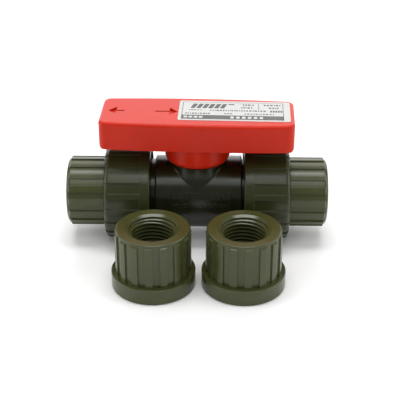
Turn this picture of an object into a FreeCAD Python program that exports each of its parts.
import FreeCAD, Part
import math
import os
import Sketcher

# Double-union ball valve with a quarter-turn lever and two loose threaded ends.
# Everything is first built about the valve's centre, where the pipe axis (X) crosses the stem
# axis (Z), and then set down on the ground: +X to the right, +Y to the back, +Z up, millimetres.

DOC = FreeCAD.newDocument("BallValve")
SHEET = DOC.addObject("Spreadsheet::Sheet", "Sheet")

DIMENSIONS = [
    # pipe run
    ("valve_half_length", 60.4),
    ("flow_radius", 7.0),
    # body
    ("barrel_radius", 16.9),
    ("barrel_left", 19.4),
    ("barrel_right", 20.7),
    ("barrel_edge", 0.8),
    ("relief_radius", 15.2),
    ("body_half_length", 31.6),
    ("thread_start", 22.6),
    ("thread_edge", 0.4),
    ("body_thread_core", 18.6),
    ("body_thread_crest", 19.8),
    ("cavity_radius", 13.4),
    ("cavity_left", 8.0),
    ("seat_pocket_radius", 12.45),
    ("seat_pocket_depth", 13.15),
    ("neck_top", 17.4),
    ("neck_top_radius", 12.4),
    ("neck_foot", 6.0),
    ("neck_foot_radius", 16.0),
    ("neck_flare", 24.0),
    ("neck_blend", 1.4),
    ("collar_top", 20.6),
    ("collar_radius", 9.0),
    ("stem_bore_radius", 6.05),
    ("shoulder_pocket_radius", 8.45),
    ("shoulder_pocket_top", 15.95),
    # union nuts, their ribs and threads
    ("nut_inner_face", 21.6),
    ("nut_outer_face", 42.7),
    ("nut_rib_radius", 22.0),
    ("nut_land_radius", 21.45),
    ("nut_collar_radius", 21.8),
    ("nut_collar_length", 4.6),
    ("nut_rounding", 2.3),
    ("nut_edge", 0.8),
    ("nut_rib_count", 18),
    ("nut_rib_angle", 7.2),
    ("nut_bore_radius", 20.05),
    ("nut_thread_crest", 18.85),
    ("nut_flange_bore", 18.85),
    ("nut_flange_seat", 31.4),
    ("nut_lip_inner", 39.2),
    ("nut_lip_radius", 17.0),
    ("union_pitch", 3.0),
    ("union_run_out", 0.2),
    ("union_body_turns", 2.1),
    ("union_nut_turns", 1.6),
    ("ridge_bury", 0.2),
    ("rib_bury", 0.4),
    ("rib_overlap", 0.3),
    ("union_ridge_root", 2.0),
    ("union_ridge_crest", 0.8),
    # end connectors
    ("flange_radius", 18.6),
    ("flange_thickness", 7.4),
    ("flange_edge", 0.7),
    ("end_rib_count", 16),
    ("end_rib_angle", 11.0),
    ("end_rib_stop", 1.6),
    ("end_rib_foot", 0.4),
    ("end_rib_foot_bury", 1.2),
    ("socket_end_length", 28.7),
    ("socket_rib_radius", 16.2),
    ("socket_land_radius", 15.6),
    ("socket_end_rounding", 1.8),
    ("socket_radius", 10.77),
    ("socket_depth", 22.2),
    ("socket_lead", 0.9),
    ("tap_end_length", 28.2),
    ("tap_rib_radius", 16.8),
    ("tap_land_radius", 16.15),
    ("tap_end_rounding", 0.5),
    ("tap_mouth_radius", 10.6),
    ("tap_mouth_depth", 1.8),
    ("tap_lead", 1.4),
    ("tap_lead_depth", 0.8),
    ("tap_run_in", 0.7),
    ("tap_crest_radius", 9.25),
    ("tap_root_radius", 10.55),
    ("tap_root_width", 0.12),
    ("tap_depth", 18.6),
    ("tap_pitch", 1.814),
    ("tap_turns", 9.15),
    ("tap_start", 1.0),
    ("tap_gap", 0.02),
    ("fitted_end_turn", 7.3),
    ("front_left_across", -18.74),
    ("front_right_across", 21.06),
    ("front_ahead", 45.4),
    ("front_left_turn", -3.5),
    ("front_right_turn", 5.6),
    # ball, seats and seals
    ("ball_radius", 12.5),
    ("ball_slot_floor", 9.5),
    ("ball_slot_width", 5.0),
    ("seat_inner_radius", 7.1),
    ("seat_outer_radius", 12.4),
    ("seat_front", 6.9),
    ("seat_back", 13.0),
    ("seat_gap", 0.15),
    ("seal_ring_radius", 10.6),
    ("cushion_section", 0.85),
    ("cushion_stand_off", 0.08),
    ("face_ring_section", 0.85),
    ("face_ring_rise", 0.05),
    ("groove_gap", 0.02),
    ("seal_groove_width", 1.8),
    ("seal_groove_depth", 1.7),
    ("carrier_radius", 13.35),
    ("carrier_front", 9.5),
    ("carrier_face", 31.55),
    ("carrier_groove_place", 22.0),
    ("carrier_groove_width", 1.5),
    ("carrier_groove_radius", 11.9),
    ("carrier_ring_section", 0.7),
    ("carrier_notch_width", 4.0),
    ("carrier_notch_depth", 2.4),
    ("carrier_notch_radius", 12.0),
    # stem
    ("stem_radius", 6.0),
    ("stem_shoulder_radius", 8.3),
    ("stem_shoulder_bottom", 12.7),
    ("stem_shoulder_top", 15.0),
    ("stem_round_top", 21.1),
    ("stem_square", 8.4),
    ("stem_square_top", 33.0),
    ("stem_groove_radius", 4.55),
    ("stem_groove_width", 1.6),
    ("stem_ring_section", 0.72),
    ("stem_ring_lower", 17.1),
    ("stem_ring_upper", 19.4),
    ("tang_bottom", 9.7),
    ("tang_width", 4.8),
    ("tang_half_length", 6.5),
    ("washer_bottom", 15.05),
    ("washer_top", 15.85),
    ("washer_inner_radius", 6.1),
    ("washer_outer_radius", 8.25),
    # lever
    ("lever_bottom", 27.8),
    ("lever_height", 13.1),
    ("lever_length", 88.0),
    ("lever_end_width", 28.2),
    ("lever_bow", 1.5),
    ("lever_plan_corner", 3.5),
    ("lever_heel_corner", 1.7),
    ("lever_top_edge", 1.3),
    ("lever_wall", 2.4),
    ("lever_deck", 2.5),
    ("lever_pocket_start", 16.4),
    ("lever_pocket_corner", 2.0),
    ("lever_rest_turn", 1.75),
    ("hub_top_radius", 15.1),
    ("hub_rim_radius", 15.0),
    ("hub_drop", 9.85),
    ("hub_rounding", 2.8),
    ("hub_recess_radius", 10.6),
    ("hub_boss_radius", 7.4),
    ("hub_boss_drop", 6.6),
    ("hub_recess_top", 8.8),
    ("hub_socket_width", 8.6),
    ("hub_socket_top", 6.2),
    ("arrow_depth", 1.0),
    ("arrow_across", -0.4),
    ("arrow_left_tip", -40.7),
    ("arrow_left_tail", -33.2),
    ("arrow_right_tip", -9.0),
    ("arrow_right_tail", -19.3),
    ("arrow_head_length", 3.7),
    ("arrow_head_half", 4.0),
    ("arrow_shaft_half", 0.5),
    ("label_left", -8.6),
    ("label_right", 42.1),
    ("label_front", -9.7),
    ("label_back", 12.0),
    ("label_corner", 1.2),
    ("label_thickness", 0.2),
    # quarter-turn stops
    ("stop_inner_radius", 8.9),
    ("stop_outer_radius", 10.3),
    ("stop_top", 19.4),
    ("stop_angle", 20.0),
    ("stop_lug_inner", 9.3),
    ("stop_lug_angle", 28.0),
    ("stop_play", 1.0),
    ("stop_lug_top", 7.0),
    ("stop_lug_bottom", 9.4),
]

for row, (alias, value) in enumerate(DIMENSIONS, start=1):
    SHEET.set("A%d" % row, alias)
    SHEET.set("B%d" % row, str(value))
    SHEET.setAlias("B%d" % row, alias)
DOC.recompute()

Vector = FreeCAD.Vector
Rotation = FreeCAD.Rotation


def bound(text):
    """A formula whose words are cells of the sheet, as an expression that other objects can hold."""
    words = sorted((alias for alias, _ in DIMENSIONS), key=len, reverse=True)
    result = ""
    token = ""
    for letter in text + " ":
        if letter.isalnum() or letter == "_":
            token += letter
            continue
        result += ("Sheet." + token) if token in words else token
        result += letter
        token = ""
    return result.strip()


def value(text):
    """The number that a formula of the sheet comes to."""
    return float(SHEET.evalExpression(bound(text)))


def bind(item, **formulas):
    """Set properties of an object by formulas of the sheet."""
    for name, text in formulas.items():
        item.setExpression(name, bound(text))


# ---------------------------------------------------------------------------------------------
# sketches and features
# ---------------------------------------------------------------------------------------------

def plane_of(body, role):
    return [item for item in body.Origin.OriginFeatures if item.Role == role][0]


def arc_between(start, end, radius, ccw):
    """Part arc from start to end: the short one, turning left when ccw."""
    middle = (start + end) / 2
    chord = end - start
    rise = math.sqrt(max(radius ** 2 - (chord.Length / 2) ** 2, 0.0))
    normal = Vector(-chord.y, chord.x, 0).normalize()
    centre = middle + normal * (rise if ccw else -rise)
    first = math.atan2(start.y - centre.y, start.x - centre.x)
    last = math.atan2(end.y - centre.y, end.x - centre.x)
    if not ccw:
        first, last = last, first
    circle = Part.Circle(centre, Vector(0, 0, 1), radius)
    return Part.ArcOfCircle(circle, first, last if last > first else last + 2 * math.pi)


def draw(sketch, corners):
    """Closed outline. Each corner is (across, up) or, where an arc leads on to the next corner,
    (across, up, radius, ccw). All of them are formulas of the sheet, and each becomes a
    constraint bound to it."""
    points = [Vector(value(corner[0]), value(corner[1]), 0) for corner in corners]
    first = sketch.GeometryCount
    starts = []
    for index, corner in enumerate(corners):
        begin = points[index]
        end = points[(index + 1) % len(points)]
        if len(corner) == 2:
            sketch.addGeometry(Part.LineSegment(begin, end), False)
            starts.append((1, 2))
        else:
            sketch.addGeometry(arc_between(begin, end, value(corner[2]), corner[3]), False)
            starts.append((1, 2) if corner[3] else (2, 1))
    for index, corner in enumerate(corners):
        after = (index + 1) % len(corners)
        sketch.addConstraint(Sketcher.Constraint(
            "Coincident", first + index, starts[index][1], first + after, starts[after][0]))
        for kind, place, text in (("DistanceX", points[index].x, corner[0]),
                                  ("DistanceY", points[index].y, corner[1])):
            number = sketch.addConstraint(Sketcher.Constraint(
                kind, -1, 1, first + index, starts[index][0], place))
            sketch.setExpression("Constraints[%d]" % number, bound(text))
        if len(corner) == 4:
            number = sketch.addConstraint(Sketcher.Constraint(
                "Radius", first + index, value(corner[2])))
            sketch.setExpression("Constraints[%d]" % number, bound(corner[2]))


def new_body(name):
    return DOC.addObject("PartDesign::Body", name)


def sketch_in(body, name, role, outlines, lift=None):
    sketch = body.newObject("Sketcher::SketchObject", name)
    sketch.AttachmentSupport = (plane_of(body, role), "")
    sketch.MapMode = "FlatFace"
    if lift:
        bind(sketch, **{"AttachmentOffset.Base.z": lift})
    for corners in outlines:
        draw(sketch, corners)
    return sketch


def revolve(body, name, corners, angle=None, groove=False):
    """Turned solid, or groove, about the body's Z axis: the outline's corners are
    (radius, height)."""
    before = body.Tip.Shape.Volume if body.Tip else 0.0
    sketch = sketch_in(body, name + "_outline", "XZ_Plane", [corners])
    feature = body.newObject("PartDesign::Groove" if groove else "PartDesign::Revolution", name)
    feature.Profile = sketch
    feature.ReferenceAxis = (sketch, ["V_Axis"])
    if angle:
        bind(feature, Angle=angle)
        feature.Midplane = True
    else:
        feature.Angle = 360
    DOC.recompute()
    if (feature.Shape.Volume > before) == groove:
        raise RuntimeError("%s goes the wrong way" % name)
    return feature


def polar_copies(body, feature, count):
    """Repeat a feature round the body's Z axis."""
    pattern = body.newObject("PartDesign::PolarPattern", feature.Name + "_round")
    pattern.Originals = [feature]
    pattern.Axis = (plane_of(body, "Z_Axis"), [""])
    pattern.Angle = 360
    bind(pattern, Occurrences=count)
    body.Tip = pattern
    DOC.recompute()
    return pattern


def extrude(body, name, role, outlines, cut=False, both=False, backwards=False, lift=None,
            **formulas):
    """Pad, or Pocket where cut is set, of outlines drawn on one of the body's own planes, or
    lifted off it."""
    before = body.Tip.Shape.Volume if body.Tip else 0.0
    sketch = sketch_in(body, name + "_outline", role, outlines, lift)
    feature = body.newObject("PartDesign::Pocket" if cut else "PartDesign::Pad", name)
    feature.Profile = sketch
    feature.Midplane = both
    feature.Reversed = backwards
    bind(feature, **formulas)
    DOC.recompute()
    change = feature.Shape.Volume - before
    if change * (-1 if cut else 1) <= 0:
        raise RuntimeError("%s does nothing: its volume changes by %.3f" % (name, change))
    return feature


def rectangle(left, right, low, high):
    return [(left, low), (right, low), (right, high), (left, high)]


def rounded_rectangle(left, right, low, high, corner):
    """Counter-clockwise, an arc at each corner."""
    return [
        ("%s + %s" % (left, corner), low),
        ("%s - %s" % (right, corner), low, corner, True),
        (right, "%s + %s" % (low, corner)),
        (right, "%s - %s" % (high, corner), corner, True),
        ("%s - %s" % (right, corner), high),
        ("%s + %s" % (left, corner), high, corner, True),
        (left, "%s - %s" % (high, corner)),
        (left, "%s + %s" % (low, corner), corner, True),
    ]


# ---------------------------------------------------------------------------------------------
# primitives and booleans
# ---------------------------------------------------------------------------------------------

def cylinder(name, radius, low, high, sweep=None):
    """Cylinder about the Z axis, or a sector of it that starts at the X axis."""
    item = DOC.addObject("Part::Cylinder", name)
    bind(item, Radius=radius, Height="(%s) - (%s)" % (high, low))
    bind(item, **{"Placement.Base.z": low})
    if sweep:
        bind(item, Angle=sweep)
    return item


def box(name, size, centre_low):
    """Box centred on the Z axis in X and Y, standing at a height: formulas of the sheet."""
    item = DOC.addObject("Part::Box", name)
    bind(item, Length=size[0], Width=size[1], Height=size[2])
    bind(item, **{
        "Placement.Base.x": "-(%s) / 2" % size[0],
        "Placement.Base.y": "-(%s) / 2" % size[1],
        "Placement.Base.z": centre_low,
    })
    return item


def cut(name, base, *tools):
    tool = tools[0] if len(tools) == 1 else fuse(name + "_tools", *tools)
    item = DOC.addObject("Part::Cut", name)
    item.Base = base
    item.Tool = tool
    return item


def fuse(name, *pieces):
    """Union. Its faces aren't merged afterwards, because merging breaks helical ones."""
    item = DOC.addObject("Part::MultiFuse", name)
    item.Shapes = list(pieces)
    item.Refine = False
    return item


def ring(name, inner, outer, low, high):
    return cut(name, cylinder(name + "_outside", outer, low, high),
               cylinder(name + "_inside", inner, "(%s) - 1" % low, "(%s) + 1" % high))


def sector(name, inner, outer, low, high, sweep, middle):
    """Part of a ring, its middle so many degrees round from the X axis."""
    item = cut(name, cylinder(name + "_outside", outer, low, high, sweep=sweep),
               cylinder(name + "_inside", inner, "(%s) - 1" % low, "(%s) + 1" % high))
    item.Placement = FreeCAD.Placement(Vector(), spin(middle - value(sweep) / 2))
    return item


def helical_ridge(name, profile, radius, pitch, turns, start):
    """Ridge swept along a right-hand helix about Z: its corners are (radius, height) from the
    helix's start."""
    helix = DOC.addObject("Part::Helix", name + "_path")
    bind(helix, Pitch=pitch, Height="(%s) * (%s)" % (pitch, turns), Radius=radius)
    bind(helix, **{"Placement.Base.z": start})
    sketch = DOC.addObject("Sketcher::SketchObject", name + "_outline")
    sketch.Placement = FreeCAD.Placement(Vector(0, 0, value(start)), Rotation(Vector(1, 0, 0), 90))
    bind(sketch, **{"Placement.Base.z": start})
    draw(sketch, profile)
    sweep = DOC.addObject("Part::Sweep", name)
    sweep.Sections = [sketch]
    sweep.Spine = (helix, ["Edge1"])
    sweep.Solid = True
    sweep.Frenet = True
    DOC.recompute()
    return sweep


def ridge_profile(root, crest, root_width, crest_width):
    return [
        (root, "-(%s) / 2" % root_width),
        (crest, "-(%s) / 2" % crest_width),
        (crest, "(%s) / 2" % crest_width),
        (root, "(%s) / 2" % root_width),
    ]


# ---------------------------------------------------------------------------------------------
# places
# ---------------------------------------------------------------------------------------------

# The nuts stand on the corners of their two lowest ribs, and Y is measured from the middle of
# the whole outline, from the rear nut to the front flanges.
AXIS_HEIGHT = "nut_rib_radius * cos((180 / nut_rib_count - nut_rib_angle / 2) * 1 deg)"
AXIS_BACK = "(front_ahead + flange_radius - nut_rib_radius) / 2"


# A side's own Z points outwards along the pipe, and its own X points up.
UPWARDS = Vector(0, 0, 1)
SIDES = {
    "left": Rotation(UPWARDS, Vector(0, 1, 0), Vector(-1, 0, 0), "ZXY"),
    "right": Rotation(UPWARDS, Vector(0, -1, 0), Vector(1, 0, 0), "ZXY"),
}
ALONG_PIPE = SIDES["right"]

PARTS = []


def spin(degrees):
    return Rotation(Vector(0, 0, 1), degrees)


def set_down(item, label, rotation=None, across="0", back=AXIS_BACK, up=AXIS_HEIGHT):
    """Name a finished piece and put it where it belongs on the ground."""
    item.Label = label
    item.Placement = FreeCAD.Placement(Vector(), rotation or Rotation())
    bind(item, **{"Placement.Base.x": across, "Placement.Base.y": back, "Placement.Base.z": up})
    PARTS.append(item)
    return item


def above_axis(height):
    return "(%s) + %s" % (AXIS_HEIGHT, height)


# ---------------------------------------------------------------------------------------------
# valve body
# ---------------------------------------------------------------------------------------------

def body_run():
    """Outside of the straight run: barrel, a relief beside each nut, and the two ends that carry
    the union threads."""
    run = new_body("body_run")
    revolve(run, "run_outside", [
        ("0", "-body_half_length"),
        ("body_thread_core - thread_edge", "-body_half_length"),
        ("body_thread_core", "-body_half_length + thread_edge"),
        ("body_thread_core", "-thread_start"),
        ("relief_radius", "-thread_start"),
        ("relief_radius", "-barrel_left"),
        ("barrel_radius - barrel_edge", "-barrel_left", "barrel_edge", True),
        ("barrel_radius", "-barrel_left + barrel_edge"),
        ("barrel_radius", "barrel_right - barrel_edge", "barrel_edge", True),
        ("barrel_radius - barrel_edge", "barrel_right"),
        ("relief_radius", "barrel_right"),
        ("relief_radius", "thread_start"),
        ("body_thread_core", "thread_start"),
        ("body_thread_core", "body_half_length - thread_edge"),
        ("body_thread_core - thread_edge", "body_half_length"),
        ("0", "body_half_length"),
    ])
    run.Placement = FreeCAD.Placement(Vector(), ALONG_PIPE)
    return run


def body_neck():
    """Bonnet: narrow at the top, flared where it runs into the barrel."""
    neck = new_body("body_neck")
    revolve(neck, "neck_outside", [
        ("0", "neck_foot"),
        ("neck_foot_radius", "neck_foot", "neck_flare", False),
        ("neck_top_radius", "neck_top"),
        ("0", "neck_top"),
    ])
    return neck


def body_cavity():
    """The hollow along the pipe: flow bore, seat pocket with its groove, ball chamber."""
    cavity = new_body("body_cavity")
    revolve(cavity, "cavity_outline", [
        ("0", "-body_half_length - 1"),
        ("flow_radius", "-body_half_length - 1"),
        ("flow_radius", "-seat_pocket_depth"),
        ("seal_ring_radius - seal_groove_width / 2", "-seat_pocket_depth"),
        ("seal_ring_radius - seal_groove_width / 2", "-seat_pocket_depth - seal_groove_depth"),
        ("seal_ring_radius + seal_groove_width / 2", "-seat_pocket_depth - seal_groove_depth"),
        ("seal_ring_radius + seal_groove_width / 2", "-seat_pocket_depth"),
        ("seat_pocket_radius", "-seat_pocket_depth"),
        ("seat_pocket_radius", "-cavity_left"),
        ("cavity_radius", "-cavity_left"),
        ("cavity_radius", "body_half_length + 1"),
        ("0", "body_half_length + 1"),
    ])
    cavity.Placement = FreeCAD.Placement(Vector(), ALONG_PIPE)
    return cavity


def union_ridge(name, root, crest, turns, start):
    """Ridge of the union thread, the same pitch on the body and in the nuts."""
    profile = ridge_profile(root, crest, "union_ridge_root", "union_ridge_crest")
    start += " + thread_start + union_ridge_root / 2 + union_run_out"
    return helical_ridge(name, profile, "body_thread_core", "union_pitch", turns, start)


def body_ridge(side):
    ridge = union_ridge(side + "_body_ridge", "body_thread_core - ridge_bury",
                        "body_thread_crest", "union_body_turns", "0")
    ridge.Placement = FreeCAD.Placement(Vector(), SIDES[side])
    return ridge


def stop_angles():
    """Middle of the lever's lug when fully open, and of the two stops that it turns between."""
    reach = value("stop_lug_angle / 2 + stop_play + stop_angle / 2")
    return 0.0, reach, -90.0 - reach


def valve_body():
    outside = fuse("body_outside", body_run(), body_neck())
    DOC.recompute()
    crease = [
        number for number, edge in enumerate(outside.Shape.Edges, start=1)
        if edge.BoundBox.ZMax < value("barrel_radius + 0.01")
        and edge.BoundBox.ZMin > 0
        and edge.BoundBox.XLength < value("2 * neck_foot_radius + 1")
        and edge.BoundBox.YLength > 1
        and max(abs(edge.BoundBox.XMin), abs(edge.BoundBox.XMax)) < value("barrel_left - 2")
    ]
    blended = DOC.addObject("Part::Fillet", "body_blended")
    blended.Base = outside
    blend = value("neck_blend")
    blended.Edges = [(number, blend, blend) for number in crease]
    _, near_stop, far_stop = stop_angles()
    stop = ("stop_inner_radius", "stop_outer_radius", "neck_top - 0.5", "stop_top", "stop_angle")
    solid = fuse(
        "body_solid", blended, body_ridge("left"), body_ridge("right"),
        cylinder("body_collar", "collar_radius", "neck_top - 0.5", "collar_top"),
        sector("open_stop", *stop, near_stop), sector("closed_stop", *stop, far_stop))
    groove = ring("left_face_groove", "seal_ring_radius - seal_groove_width / 2",
                  "seal_ring_radius + seal_groove_width / 2",
                  "body_half_length - seal_groove_depth", "body_half_length + 1")
    groove.Placement = FreeCAD.Placement(Vector(), SIDES["left"])
    body = cut(
        "valve_body_shape", solid, body_cavity(), groove,
        cylinder("stem_bore", "stem_bore_radius", "cavity_radius - 3", "collar_top + 1"),
        cylinder("shoulder_pocket", "shoulder_pocket_radius", "cavity_left",
                 "shoulder_pocket_top"))
    set_down(body, "valve_body")


# ---------------------------------------------------------------------------------------------
# unions: nuts and end connectors
# ---------------------------------------------------------------------------------------------

def union_nut(side):
    blank = new_body(side + "_nut_blank")
    revolve(blank, "nut_wall", [
        ("nut_bore_radius", "nut_inner_face"),
        ("nut_collar_radius - nut_edge", "nut_inner_face", "nut_edge", True),
        ("nut_collar_radius", "nut_inner_face + nut_edge"),
        ("nut_collar_radius", "nut_inner_face + nut_collar_length"),
        ("nut_land_radius", "nut_inner_face + nut_collar_length"),
        ("nut_land_radius", "nut_outer_face - nut_rounding", "nut_rounding", True),
        ("nut_land_radius - nut_rounding", "nut_outer_face"),
        ("nut_lip_radius", "nut_outer_face"),
        ("nut_lip_radius", "nut_lip_inner"),
        ("nut_flange_bore", "nut_lip_inner"),
        ("nut_flange_bore", "nut_flange_seat"),
        ("nut_bore_radius", "nut_flange_seat"),
    ])
    rib = revolve(blank, "nut_rib", [
        ("nut_land_radius - rib_bury", "nut_inner_face + nut_collar_length - rib_overlap"),
        ("nut_rib_radius", "nut_inner_face + nut_collar_length - rib_overlap"),
        ("nut_rib_radius", "nut_outer_face - nut_rounding", "nut_rounding", True),
        ("nut_rib_radius - nut_rounding", "nut_outer_face"),
        ("nut_land_radius - nut_rounding - rib_bury", "nut_outer_face"),
    ], angle="nut_rib_angle")
    polar_copies(blank, rib, "nut_rib_count")
    blank.Placement = FreeCAD.Placement(Vector(), spin(value("180 / nut_rib_count")))
    ridge = union_ridge(side + "_nut_ridge", "nut_bore_radius + ridge_bury", "nut_thread_crest",
                        "union_nut_turns", "union_pitch / 2")
    nut = fuse(side + "_nut_shape", blank, ridge)
    set_down(nut, side + "_union_nut", SIDES[side])


def end_connector(name, kind, inside):
    """Flanged end piece, a socket or a tap, with its flange face at height 0 and its mouth up.
    The inside's corners go on from the rim of the mouth down to the flange face."""
    length, land, rounding, rib_radius = (
        kind + "_end_length", kind + "_land_radius", kind + "_end_rounding",
        kind + "_rib_radius")
    body = new_body(name)
    revolve(body, "end_wall", [
        ("flow_radius", "0"),
        ("flange_radius - flange_edge", "0", "flange_edge", True),
        ("flange_radius", "flange_edge"),
        ("flange_radius", "flange_thickness - flange_edge / 2", "flange_edge / 2", True),
        ("flange_radius - flange_edge / 2", "flange_thickness"),
        (land, "flange_thickness"),
        (land, "%s - %s" % (length, rounding), rounding, True),
        ("%s - %s" % (land, rounding), length),
    ] + inside)
    buried = land + " - end_rib_foot_bury"
    rib = revolve(body, "end_rib", [
        (buried, "flange_thickness - rib_overlap"),
        (rib_radius, "flange_thickness - rib_overlap"),
        (rib_radius, length + " - end_rib_stop"),
        (buried, length + " - end_rib_foot"),
    ], angle="end_rib_angle")
    polar_copies(body, rib, "end_rib_count")
    return body


def socket_end(side):
    """Plain socket for a pipe to be cemented in."""
    body = end_connector(side + "_socket_end_body", "socket", [
        ("socket_radius + socket_lead", "socket_end_length"),
        ("socket_radius", "socket_end_length - socket_lead"),
        ("socket_radius", "socket_end_length - socket_depth"),
        ("flow_radius", "socket_end_length - socket_depth"),
    ])
    # a rib's middle is so many degrees above the level line through the front of the pipe
    pitch = value("360 / end_rib_count")
    from_top = (90.0 - value("fitted_end_turn")) % pitch
    turn = from_top if side == "right" else pitch - from_top
    sign = {"left": "-", "right": ""}[side]
    set_down(body, side + "_socket_end", SIDES[side].multiply(spin(turn)),
             across="%s(valve_half_length - socket_end_length)" % sign)


def threaded_end(side):
    """The same connector with a tapping for a threaded pipe."""
    body = end_connector("front_%s_blank" % side, "tap", [
        ("tap_mouth_radius + tap_lead", "tap_end_length"),
        ("tap_mouth_radius", "tap_end_length - tap_lead_depth"),
        ("tap_mouth_radius", "tap_end_length - tap_mouth_depth"),
        ("tap_crest_radius", "tap_end_length - tap_mouth_depth - tap_run_in"),
        ("tap_crest_radius", "tap_end_length - tap_depth"),
        ("flow_radius", "tap_end_length - tap_depth - (tap_crest_radius - flow_radius)"),
    ])
    profile = ridge_profile("tap_crest_radius - rib_bury", "tap_root_radius",
                            "tap_pitch - tap_gap", "tap_root_width")
    groove = helical_ridge("front_%s_thread" % side, profile, "tap_crest_radius", "tap_pitch",
                           "tap_turns", "tap_end_length - tap_depth + tap_start")
    end = cut("front_%s_shape" % side, body, groove)
    set_down(end, "front_%s_threaded_end" % side, spin(value("front_%s_turn" % side)),
             across="front_%s_across" % side, back="%s - front_ahead" % AXIS_BACK, up="0")


# ---------------------------------------------------------------------------------------------
# inside the valve
# ---------------------------------------------------------------------------------------------

def ball():
    sphere = DOC.addObject("Part::Sphere", "ball_sphere")
    bind(sphere, Radius="ball_radius")
    bore = cylinder("ball_bore", "flow_radius", "-ball_radius - 1", "ball_radius + 1")
    bore.Placement.Rotation = ALONG_PIPE
    bore.setExpression("Placement.Base.z", None)
    bind(bore, **{"Placement.Base.x": "-ball_radius - 1"})
    slot = box("ball_slot", ("ball_slot_width", "2 * ball_radius", "ball_radius"),
               "ball_slot_floor")
    set_down(cut("ball_shape", sphere, bore, slot), "ball", spin(-value("lever_rest_turn")))


def stem():
    shaft = new_body("stem_shaft")
    grooves = []
    for place in ("stem_ring_lower", "stem_ring_upper"):
        grooves += [
            ("stem_radius", "%s - stem_groove_width / 2" % place),
            ("stem_groove_radius", "%s - stem_groove_width / 2" % place),
            ("stem_groove_radius", "%s + stem_groove_width / 2" % place),
            ("stem_radius", "%s + stem_groove_width / 2" % place),
        ]
    revolve(shaft, "stem_turned", [
        ("0", "stem_shoulder_bottom"),
        ("stem_shoulder_radius", "stem_shoulder_bottom"),
        ("stem_shoulder_radius", "stem_shoulder_top"),
        ("stem_radius", "stem_shoulder_top"),
    ] + grooves + [
        ("stem_radius", "stem_round_top"),
        ("0", "stem_round_top"),
    ])
    square = box("stem_square_end", ("stem_square", "stem_square",
                                     "stem_square_top - stem_round_top + 1"), "stem_round_top - 1")
    tang = box("stem_tang", ("tang_width", "2 * tang_half_length",
                             "stem_shoulder_bottom - tang_bottom + 1"), "tang_bottom")
    set_down(fuse("stem_shape", shaft, square, tang), "stem", spin(-value("lever_rest_turn")))


def seat(side):
    """Soft ring with a cupped face that follows the ball."""
    body = new_body("ball_seat_%s_body" % side)
    cup = "(ball_radius + seat_gap)"
    revolve(body, "seat_ring", [
        ("seat_inner_radius", "seat_back"),
        ("seat_inner_radius", "sqrt(%s ^ 2 - seat_inner_radius ^ 2)" % cup, cup, False),
        ("sqrt(%s ^ 2 - seat_front ^ 2)" % cup, "seat_front"),
        ("seat_outer_radius", "seat_front"),
        ("seat_outer_radius", "seat_back"),
    ])
    set_down(body, "ball_seat_%s" % side, SIDES[side])


def seat_carrier():
    """Retainer that is screwed into the right end of the body and loads the seats."""
    body = new_body("seat_carrier_body")
    seal_in = "seal_ring_radius - seal_groove_width / 2"
    seal_out = "seal_ring_radius + seal_groove_width / 2"
    revolve(body, "carrier_turned", [
        ("seat_pocket_radius", "carrier_front"),
        ("carrier_radius", "carrier_front"),
        ("carrier_radius", "carrier_groove_place - carrier_groove_width / 2"),
        ("carrier_groove_radius", "carrier_groove_place - carrier_groove_width / 2"),
        ("carrier_groove_radius", "carrier_groove_place + carrier_groove_width / 2"),
        ("carrier_radius", "carrier_groove_place + carrier_groove_width / 2"),
        ("carrier_radius", "carrier_face"),
        (seal_out, "carrier_face"),
        (seal_out, "carrier_face - seal_groove_depth"),
        (seal_in, "carrier_face - seal_groove_depth"),
        (seal_in, "carrier_face"),
        ("flow_radius", "carrier_face"),
        ("flow_radius", "seat_pocket_depth"),
        (seal_in, "seat_pocket_depth"),
        (seal_in, "seat_pocket_depth + seal_groove_depth"),
        (seal_out, "seat_pocket_depth + seal_groove_depth"),
        (seal_out, "seat_pocket_depth"),
        ("seat_pocket_radius", "seat_pocket_depth"),
    ])
    half = "carrier_notch_width / 2"
    extrude(body, "carrier_notches", "XY_Plane", [
        rectangle("-%s" % half, half, "carrier_notch_radius", "carrier_radius + 1"),
        rectangle("-%s" % half, half, "-carrier_radius - 1", "-carrier_notch_radius"),
    ], cut=True, lift="carrier_face", Length="carrier_notch_depth")
    set_down(body, "seat_carrier", SIDES["right"])


def seals():
    """Every O-ring and the stem's thrust washer."""
    along_pipe = Rotation(Vector(0, 1, 0), 90)
    for side, sign in (("left", "-"), ("right", "")):
        rings = (
            ("seat_cushion_" + side, "cushion_section",
             "(seat_pocket_depth + cushion_section - cushion_stand_off)"),
            (side + "_face_o_ring", "face_ring_section",
             "(body_half_length - face_ring_section + face_ring_rise)"),
        )
        for label, section, place in rings:
            torus = DOC.addObject("Part::Torus", label)
            bind(torus, Radius1="seal_ring_radius", Radius2=section)
            set_down(torus, label, along_pipe, across=sign + place)
    torus = DOC.addObject("Part::Torus", "carrier_o_ring")
    bind(torus, Radius1="carrier_groove_radius + carrier_ring_section + groove_gap",
         Radius2="carrier_ring_section")
    set_down(torus, "carrier_o_ring", along_pipe, across="carrier_groove_place")
    for level in ("lower", "upper"):
        torus = DOC.addObject("Part::Torus", "stem_o_ring_" + level)
        bind(torus, Radius1="stem_groove_radius + stem_ring_section + groove_gap",
             Radius2="stem_ring_section")
        set_down(torus, "stem_o_ring_" + level, up=above_axis("stem_ring_" + level))
    washer = ring("washer", "washer_inner_radius", "washer_outer_radius", "washer_bottom",
                  "washer_top")
    set_down(washer, "stem_thrust_washer")


# ---------------------------------------------------------------------------------------------
# lever
# ---------------------------------------------------------------------------------------------

def edges_where(shape, test):
    return ["Edge%d" % number for number, edge in enumerate(shape.Edges, start=1) if test(edge)]


def round_edges(body, name, test, radius):
    base = body.Tip
    feature = body.newObject("PartDesign::Fillet", name)
    feature.Base = (base, edges_where(base.Shape, test))
    bind(feature, Radius=radius)
    body.Tip = feature
    DOC.recompute()
    return feature


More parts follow.
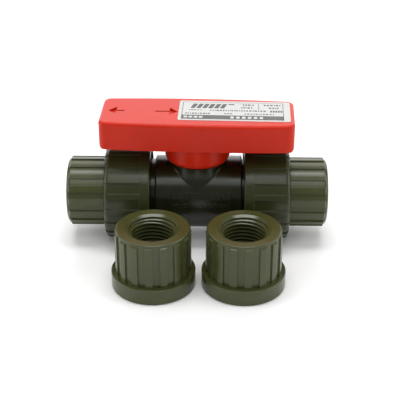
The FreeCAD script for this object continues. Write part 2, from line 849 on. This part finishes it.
def arrow(tip, tail, points_left):
    """Outline of an engraved arrow, tip first, lying along X."""
    sign = "+" if points_left else "-"
    neck = "%s %s arrow_head_length" % (tip, sign)
    middle = "arrow_across"
    return [
        (tip, middle),
        (neck, middle + " - arrow_head_half"),
        (neck, middle + " - arrow_shaft_half"),
        (tail, middle + " - arrow_shaft_half"),
        (tail, middle + " + arrow_shaft_half"),
        (neck, middle + " + arrow_shaft_half"),
        (neck, middle + " + arrow_head_half"),
    ]


def lever():
    """Box-shaped lever, open underneath, and the round hub that drives the stem."""
    body = new_body("lever")
    bow = "((lever_length ^ 2 / 4 + lever_bow ^ 2) / (2 * lever_bow))"
    half_length = "lever_length / 2"
    half_width = "lever_end_width / 2"
    extrude(body, "lever_block", "XY_Plane", [[
        ("-" + half_length, "-" + half_width, bow, True),
        (half_length, "-" + half_width),
        (half_length, half_width, bow, True),
        ("-" + half_length, half_width),
    ]], Length="lever_height")
    round_edges(body, "lever_plan_corners",
                lambda edge: edge.BoundBox.ZLength > value("lever_height - 0.1"),
                "lever_plan_corner")
    heel = "lever_heel_corner"
    extrude(body, "lever_heels", "XZ_Plane", [
        [
            ("%s - %s" % (half_length, heel), "0", heel, True),
            (half_length, heel),
            ("%s + 1" % half_length, heel),
            ("%s + 1" % half_length, "-1"),
            ("%s - %s" % (half_length, heel), "-1"),
        ],
        [
            ("%s - %s" % (heel, half_length), "0", heel, False),
            ("-" + half_length, heel),
            ("-%s - 1" % half_length, heel),
            ("-%s - 1" % half_length, "-1"),
            ("%s - %s" % (heel, half_length), "-1"),
        ],
    ], cut=True, both=True, Length="lever_end_width + 4")
    round_edges(body, "lever_top_edges",
                lambda edge: edge.BoundBox.ZMin > value("lever_height - 0.01"), "lever_top_edge")
    revolve(body, "hub", [
        ("0", "-hub_drop"),
        ("hub_rim_radius - hub_rounding", "-hub_drop", "hub_rounding", True),
        ("hub_rim_radius", "-hub_drop + hub_rounding"),
        ("hub_top_radius", "0"),
        ("hub_top_radius - 0.2", "0.5"),
        ("0", "0.5"),
    ])
    revolve(body, "hub_recess", [
        ("0", "-hub_drop - 1"),
        ("hub_recess_radius", "-hub_drop - 1"),
        ("hub_recess_radius", "hub_recess_top"),
        ("hub_boss_radius", "hub_recess_top"),
        ("hub_boss_radius", "-hub_boss_drop"),
        ("0", "-hub_boss_drop"),
    ], groove=True)
    half_socket = "hub_socket_width / 2"
    extrude(body, "hub_socket", "XY_Plane",
            [rectangle("-" + half_socket, half_socket, "-" + half_socket, half_socket)],
            cut=True, backwards=True, lift="-hub_boss_drop - 1",
            Length="hub_boss_drop + hub_socket_top + 1")
    far = "%s - lever_wall" % half_length
    side = "%s - lever_wall" % half_width
    extrude(body, "lever_hollows", "XY_Plane", [
        rounded_rectangle("lever_pocket_start", far, "-(%s)" % side, side, "lever_pocket_corner"),
        rounded_rectangle("-(%s)" % far, "-lever_pocket_start", "-(%s)" % side, side,
                          "lever_pocket_corner"),
    ], cut=True, backwards=True, lift="-1", Length="lever_height - lever_deck + 1")
    extrude(body, "lever_arrows", "XY_Plane", [
        arrow("arrow_left_tip", "arrow_left_tail", True),
        arrow("arrow_right_tip", "arrow_right_tail", False),
    ], cut=True, lift="lever_height", Length="arrow_depth")
    open_place, _, _ = stop_angles()
    lug = sector("stop_lug", "stop_lug_inner", "hub_recess_radius + 0.3", "-stop_lug_bottom",
                 "-stop_lug_top", "stop_lug_angle", open_place)
    set_down(fuse("lever_shape", body, lug), "handle", spin(-value("lever_rest_turn")),
             up=above_axis("lever_bottom"))


def label():
    """Thin rectangular sticker on the right half of the lever's deck."""
    body = new_body("label")
    extrude(body, "label_sheet", "XY_Plane", [
        rounded_rectangle("label_left", "label_right", "label_front", "label_back",
                          "label_corner"),
    ], Length="label_thickness")
    set_down(body, "handle_label", spin(-value("lever_rest_turn")),
             up=above_axis("lever_bottom + lever_height"))


# ---------------------------------------------------------------------------------------------
# build, check and write
# ---------------------------------------------------------------------------------------------

valve_body()
seat_carrier()
ball()
stem()
lever()
label()
seals()
for hand in ("left", "right"):
    seat(hand)
    socket_end(hand)
    union_nut(hand)
    threaded_end(hand)
DOC.recompute()

failed = [item.Name for item in DOC.Objects if "Invalid" in item.State or "Error" in item.State]
if failed:
    raise RuntimeError("failed objects: %s" % ", ".join(failed))
for part in PARTS:
    if part.Shape.isNull() or not part.Shape.isValid() or len(part.Shape.Solids) != 1:
        raise RuntimeError("%s is not one valid solid" % part.Label)

os.makedirs("parts", exist_ok=True)
for part in PARTS:
    part.Shape.exportStep("parts/%s.step" % part.Label)
    print("%-28s %10.1f mm3" % (part.Label, part.Shape.Volume))
